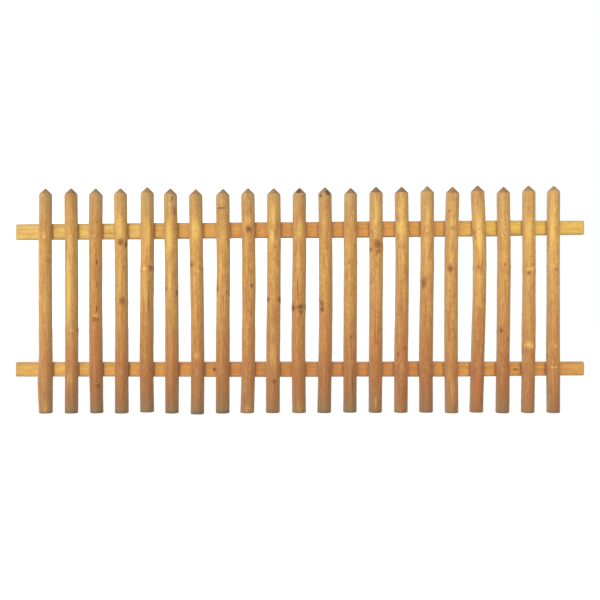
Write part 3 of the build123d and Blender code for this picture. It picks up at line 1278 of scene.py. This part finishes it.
def end_grain(tree, given):
    """End grain: growth rings round the pith, and short checks that run out from it."""
    x, y, z = tree.split(given["Fibre"])
    plane = tree.join(x, y, tree.times(z, 0.15))
    reach = tree.length(tree.join(x, y, 0.0))
    pith = tree.plus(reach, tree.times(tree.noise(plane, 45.0, 2.0), 0.006))
    turn = tree.math("ARCTAN2", y, x)
    spokes = tree.noise(tree.join(tree.times(turn, 2.3), 0.0, z), 2.4, 2.0)
    return {
        "Rings": tree.math("POWER", tree.math("FRACT", tree.times(pith, 480.0)), 2.0),
        "Checks": tree.times(tree.remap(spokes, 0.66, 0.72), tree.remap(reach, 0.026, 0.008)),
        "Pores": tree.noise(plane, 900.0, 2.0, 0.6),
    }


groups = {
    "figure": shader_group("softwood_figure", ["Fibre"], {"Ring Width": 0.0026}, softwood_figure),
    "knot": shader_group("cut_branch", ["Offset"], {"Dark": 0.5}, cut_branch),
    "stain": shader_group("ragged_stains", ["Stain", "Fibre"], {}, ragged_stains),
    "saw": shader_group("saw_marks", ["Fibre"], {}, saw_marks),
    "end": shader_group("end_grain", ["Fibre"], {}, end_grain),
}


def place_group(tree, name, **inputs):
    node = tree.add("ShaderNodeGroup", node_tree=groups[name])
    tree.fill(node, **inputs)
    return node.outputs


def new_material(name, specular):
    """An empty material with its surface."""
    material = bpy.data.materials.new(name)
    tree = empty_tree(material)
    surface = tree.add("ShaderNodeBsdfPrincipled")
    surface.inputs["Specular IOR Level"].default_value = specular
    tree.show(surface.outputs[0])
    return material, tree, surface


def finish_surface(tree, surface, colour, rough, height, strength, depth):
    """Give a surface its colour, roughness and fine relief."""
    bump = tree.add("ShaderNodeBump")
    normal = tree.fill(bump, Strength=strength, Distance=depth, Height=height)
    tree.fill(surface, Base_Color=colour, Roughness=rough, Normal=normal)


def place_colours(tree, direction, stops):
    """A colour by place along the panel (0) or by height (2), from stops of place and colour."""
    low, high = stops[0][0], stops[-1][0]
    place = tree.split(tree.object_place())[direction]
    ramp = tree.add("ShaderNodeValToRGB")
    tree.feed(ramp.inputs[0], tree.remap(place, low, high, ease="LINEAR"))
    points = ramp.color_ramp.elements
    while len(points) < len(stops):
        points.new(0.5)
    for point, (height, colour) in zip(points, stops):
        point.position = (height - low) / (high - low)
        point.color = colour
    return ramp.outputs["Color"]


def foot_grime(tree, figure, colour):
    """Grey-green dirt that the feet draw up from wet ground."""
    grime_and_painted_shade = tree.value("grime_and_painted_shade")
    uneven = tree.remap(figure["Streaks"], 0.0, 1.0, 1.0, 0.6)
    height = tree.split(tree.object_place())[2]
    ragged = tree.plus(height, tree.times(figure["Mottle"], 0.006))
    soaked = tree.times(tree.remap(ragged, -0.166, -0.183), 0.4)
    wet = tree.times(soaked, tree.plus(grime_and_painted_shade, 0.5), True)
    dirt = [(tree.times(grime_and_painted_shade, uneven), 1, srgb(142, 122, 84)), (wet, 1, srgb(88, 92, 88))]
    return tree.laid_over(colour, dirt)


def painted_crevice_shade(tree, figure, colour):
    """Painted red-brown shade spreading over the rail from the gap beside each picket, and a painted dark
    line of shade in that gap.
    """
    beside = tree.value("beside")
    ragged = tree.plus(beside, tree.times(figure["Streaks"], 0.004))
    # painted shade: a red-brown band fading over about 19 mm from each picket's flank
    painted_shade = tree.times(tree.remap(ragged, 0.019, 0.003), tree.value("grime_and_painted_shade"))
    # painted shade: a dark line in the gap, only on the left of the right-hand pickets
    painted_crevice_line = tree.times(tree.remap(beside, 0.007, 0.001), tree.value("painted_crevice_line"))
    return tree.laid_over(colour, [(painted_shade, 1, srgb(176, 108, 60)), (painted_crevice_line, 1, srgb(120, 74, 44))])


def wood_material(name, stops, grime_and_painted_shade, streaks, patchy=1.0, sawn=0.0, mottled=False, greying_colour=None):
    """Softwood along the grain: figure, knots, stains and cracks over a base colour."""
    material, tree, surface = new_material(name, 0.3)
    fibre = tree.vector("fibre")
    figure = place_group(tree, "figure", Fibre=fibre)
    knot = place_group(tree, "knot", Offset=tree.vector("knot"), Dark=tree.value("knot_dark"))
    stain = place_group(tree, "stain", Stain=tree.vector("stain"), Fibre=fibre)
    shaved = tree.value("shaved")
    base = place_colours(tree, *stops)

    pale = tree.tinted(base, (1.15, 1.19, 1.07, 1))
    deep = tree.tinted(base, (0.86, 0.74, 0.62, 1))
    clean = tree.tinted(base, (1.3, 1.41, 1.2, 1))
    leaning = tree.plus(figure["Streaks"], tree.times(tree.value("tone"), 0.55))
    colour = tree.mix(tree.plus(tree.swing(leaning, streaks * 2), 0.5, True), deep, pale)
    inner_bark = tree.times(figure["Blotches"], tree.remap(shaved, 0.0, 0.6, 0.42 * patchy, 0.12))
    planed = tree.times(figure["Patches"], tree.remap(shaved, 0.0, 0.7, 0.2, 0.45))
    reddish = tree.times(tree.value("red"), tree.remap(figure["Blotches"], 0.0, 1.0, 0.12, 0.75))
    layers = [
        (inner_bark, 1, srgb(178, 114, 62)),
        (planed, 1, clean),
        (reddish, 1, srgb(172, 98, 62)),
        (figure["Rings"], 0.16 * patchy, (0.36, 0.15, 0.05, 1)),
    ]
    colour = tree.laid_over(colour, layers)
    fine = tree.remap(figure["Fibres"], 0.3, 0.7, 0.9, 1.08)
    colour = tree.tinted(colour, tree.join(fine, fine, fine))
    if mottled:
        colour = tree.tinted(colour, tree.mix(figure["Mottle"], (0.9, 0.86, 0.81, 1), (1.06, 1.08, 1.07, 1)))
    layers = [
        (stain["Light"], 0.8, srgb(240, 199, 104)),
        (stain["Red"], 0.6, srgb(190, 112, 62)),
        (figure["Specks"], 0.4 * patchy, srgb(128, 84, 52)),
    ]
    # the greying field: weathering on the heads, painted sheen and shade on the flanks, painted shade at the
    # rails' right ends
    if greying_colour:
        uneven = tree.remap(figure["Streaks"], 0.0, 1.0, 1.0, 0.75)
        layers.append((tree.times(tree.value("greying_and_painted_edge_light"), uneven), 1, greying_colour))
    around_knot = tree.times(knot["Surround"], tree.remap(figure["Fibres"], 0.3, 0.6, 0.75, 0.3))
    layers += [
        (around_knot, 1, srgb(170, 104, 56)),
        (knot["Core"], 0.75, srgb(132, 82, 46)),
        (knot["Rings"], 0.25, srgb(92, 56, 36)),
        (knot["Rim"], 0.7, srgb(98, 62, 40)),
        (knot["Heart"], 0.75, srgb(70, 46, 34)),
        (stain["Dark"], 0.85, srgb(92, 62, 44)),
        (tree.remap(tree.value("crack"), 0.15, 0.8), 1, srgb(58, 40, 30)),
    ]
    # foot grime on the pickets, and painted shade beside the pickets on the rails
    colour = grime_and_painted_shade(tree, figure, tree.laid_over(colour, layers))

    surface.inputs["Sheen Weight"].default_value = 0.25
    surface.inputs["Sheen Roughness"].default_value = 0.45
    rough = tree.plus(tree.times(figure["Fibres"], 0.25), 0.5)
    height = tree.plus(tree.times(figure["Fibres"], 0.5), tree.times(figure["Rings"], 0.25))
    height = tree.plus(height, tree.times(knot["Height"], 1.2))
    if sawn:
        saw = place_group(tree, "saw", Fibre=fibre)
        height = tree.plus(height, tree.times(saw["Height"], sawn))
    finish_surface(tree, surface, colour, rough, height, 0.9, 0.45 * MM)
    return material


def end_material(name, pale, dark, grey_share):
    """Wood cut across the grain, as on the turned points and the sawn ends."""
    material, tree, surface = new_material(name, 0.2)
    fibre = tree.vector("fibre")
    end = place_group(tree, "end", Fibre=fibre)
    figure = place_group(tree, "figure", Fibre=fibre)
    stain = place_group(tree, "stain", Stain=tree.vector("stain"), Fibre=fibre)
    uneven = tree.remap(figure["Streaks"], 0.0, 1.0, 0.7, 1.0)
    layers = [
        (end["Rings"], 0.5, dark),
        (figure["Blotches"], 0.5, dark),
        (tree.value("red"), 0.75, srgb(150, 88, 54)),
        # the greying field: weathering, with painted shade on the turned point's sides and tip
        (tree.times(tree.times(tree.value("greying_and_painted_edge_light"), grey_share), uneven), 1, srgb(114, 106, 88)),
        (stain["Dark"], 0.75, srgb(66, 50, 46)),
        (stain["Red"], 0.5, srgb(160, 92, 56)),
        (end["Checks"], 1, srgb(50, 36, 28)),
    ]
    rough = tree.plus(tree.times(end["Pores"], 0.2), 0.62)
    height = tree.plus(tree.times(end["Rings"], 0.6), tree.times(end["Pores"], 0.5))
    height = tree.math("SUBTRACT", height, tree.times(end["Checks"], 2.0))
    finish_surface(tree, surface, tree.laid_over(pale, layers), rough, height, 0.8, 0.4 * MM)
    return material


def nail_material():
    """Nail heads: bare rubbed metal with a painted glint on the shiny heads, dull and stained like the wood
    elsewhere.
    """
    material, tree, surface = new_material("galvanised_nail", 0.5)
    place = tree.object_place()
    spangle = tree.noise(place, 900.0, 3.0, 0.6)
    rust = tree.remap(tree.noise(place, 300.0, 3.0, 0.6), 0.5, 0.7)
    shine = tree.value("shine")
    # painted glint: a bright pale yellow base colour on the shiny heads, over partly metallic steel
    metal_and_painted_glint = tree.mix(spangle, srgb(214, 182, 126), srgb(250, 222, 156))
    dull = tree.mix(rust, srgb(190, 136, 80), srgb(152, 100, 60))
    tree.feed(surface.inputs["Metallic"], tree.times(shine, 0.45))
    rough = tree.plus(tree.times(spangle, 0.2), 0.45)
    finish_surface(tree, surface, tree.mix(shine, dull, metal_and_painted_glint), rough, spangle, 0.5, 0.2 * MM)
    return material


foot_wood = end_material("sawn_end", srgb(200, 156, 104), srgb(140, 98, 62), 0.0)
picket_materials = [
    # its greying colour: weathering on heads and points, painted sheen and shade on the flanks
    wood_material(
        "peeled_picket", picket_colours, foot_grime, 0.45, mottled=True, greying_colour=srgb(188, 170, 124)
    ),
    end_material("turned_point", srgb(208, 163, 102), srgb(160, 118, 72), 0.75),
    foot_wood,
    wood_material("sawn_back", sawn_colours, foot_grime, 0.35, sawn=1.6),
]
# the grey of the rails' edges, also the colour of the painted shade at their right ends
rail_edge_grey = srgb(158, 126, 92)
rail_materials = {}
for name, stops in rail_colours.items():
    rail_materials[name] = [
        wood_material(
            name + "_face", stops, painted_crevice_shade, 0.25, patchy=0.3, sawn=0.5, greying_colour=rail_edge_grey
        ),
        wood_material(name + "_edge", stops, painted_crevice_shade, 0.4, patchy=0.5, greying_colour=rail_edge_grey),
        foot_wood,
    ]

picket_poles = []
dressed = {number: build_picket(number, picket_materials) for number in marks}

# How strong the rails' painted shade beside the pickets is at those places
top_painted_shade = (0.05, 0.35, 0.4, 0.15)
bottom_painted_shade = (0.1, 0.35, 0.4, 0.4)
build_rail("top_rail", 11, top_painted_shade, rail_materials["top_rail"], top_rail_stains)
build_rail("bottom_rail", 12, bottom_painted_shade, rail_materials["bottom_rail"], bottom_rail_stains)
build_nails(nail_material())


# Stage, light and camera

ambient_strength = 0.8
left_share = 1.0  # how much more the soft light comes from the left than from all round
behind_share = 0.5  # and from behind, where the key light does not reach
key_strength = 1.45
key_width = math.radians(24)
key_turn = math.radians(7)  # from straight in front to the left
key_rise = math.radians(16)
floor_gap = 0.06  # the panel hangs on its posts, clear of the ground
floor_half = 14.0
floor_white = 1.1
floor_white_share = 0.85  # the rest of what is seen is the lit floor with its shadow
shown_width = 2.628  # what the picture's width covers at the pickets' middles
pickets_forward = 0.053  # how far the pickets' middles stand in front of the rails' backs


def seen_directly(tree):
    """One for what the camera, glossy and clear surfaces see, and zero for the light on the object."""
    path = tree.add("ShaderNodeLightPath").outputs
    seen = tree.math("MAXIMUM", path["Is Camera Ray"], path["Is Glossy Ray"])
    return tree.math("MAXIMUM", seen, path["Is Transmission Ray"])


def build_floor():
    """A plain pale floor that shows almost white and keeps the shadow."""
    z = cad_box[0][2] - floor_gap
    mesh = bpy.data.meshes.new("floor")
    corners = [(x * floor_half, y * floor_half, z) for x, y in ((-1, -1), (1, -1), (1, 1), (-1, 1))]
    mesh.from_pydata(corners, [], [(0, 1, 2, 3)])
    material = bpy.data.materials.new("pale_floor")
    tree = empty_tree(material)
    pale = tree.fill(tree.add("ShaderNodeBsdfDiffuse"), Color=(0.8, 0.8, 0.8, 1))
    white = tree.fill(tree.add("ShaderNodeEmission"), Strength=floor_white)
    share = tree.times(seen_directly(tree), floor_white_share)
    mixed = tree.add("ShaderNodeMixShader")
    for socket, value in zip(mixed.inputs, (share, pale, white)):
        tree.feed(socket, value)
    tree.show(mixed.outputs[0])
    mesh.materials.append(material)
    link("floor", mesh)


def build_world():
    """Soft white light from all round, stronger from the left and from behind."""
    world = bpy.data.worlds.new("studio")
    bpy.context.scene.world = world
    tree = empty_tree(world)
    across, depth, _ = tree.split(tree.add("ShaderNodeTexCoord").outputs["Generated"])
    sides = tree.plus(tree.times(across, -left_share), tree.times(depth, behind_share))
    lean = tree.math("MAXIMUM", tree.plus(sides, 1.0), 0.0)
    strength = tree.math("MAXIMUM", tree.times(lean, ambient_strength), seen_directly(tree))
    light = tree.fill(tree.add("ShaderNodeBackground"), Color=(1, 1, 1, 1), Strength=strength)
    tree.show(light, "ShaderNodeOutputWorld")


def build_key_light():
    """A broad soft lamp, high in front of the panel."""
    lamp = bpy.data.lights.new("key", "SUN")
    lamp.energy = key_strength
    lamp.angle = key_width
    level = math.cos(key_rise)
    towards = Vector((math.sin(key_turn) * level, math.cos(key_turn) * level, -math.sin(key_rise)))
    link("key", lamp).rotation_euler = towards.to_track_quat("-Z", "Y").to_euler()


def build_camera():
    """Level and straight in front, at the photograph's distance."""
    camera = bpy.data.cameras.new("camera")
    camera.sensor_width = 36.0
    camera.lens = camera.sensor_width * view_distance / shown_width
    viewer = link("camera", camera)
    viewer.location = view_place + Vector((0, -pickets_forward - view_distance, 0))
    viewer.rotation_euler = (math.pi / 2, 0, 0)
    bpy.context.scene.camera = viewer


build_floor()
build_world()
build_key_light()
build_camera()
bpy.context.scene.view_settings.view_transform = "Standard"
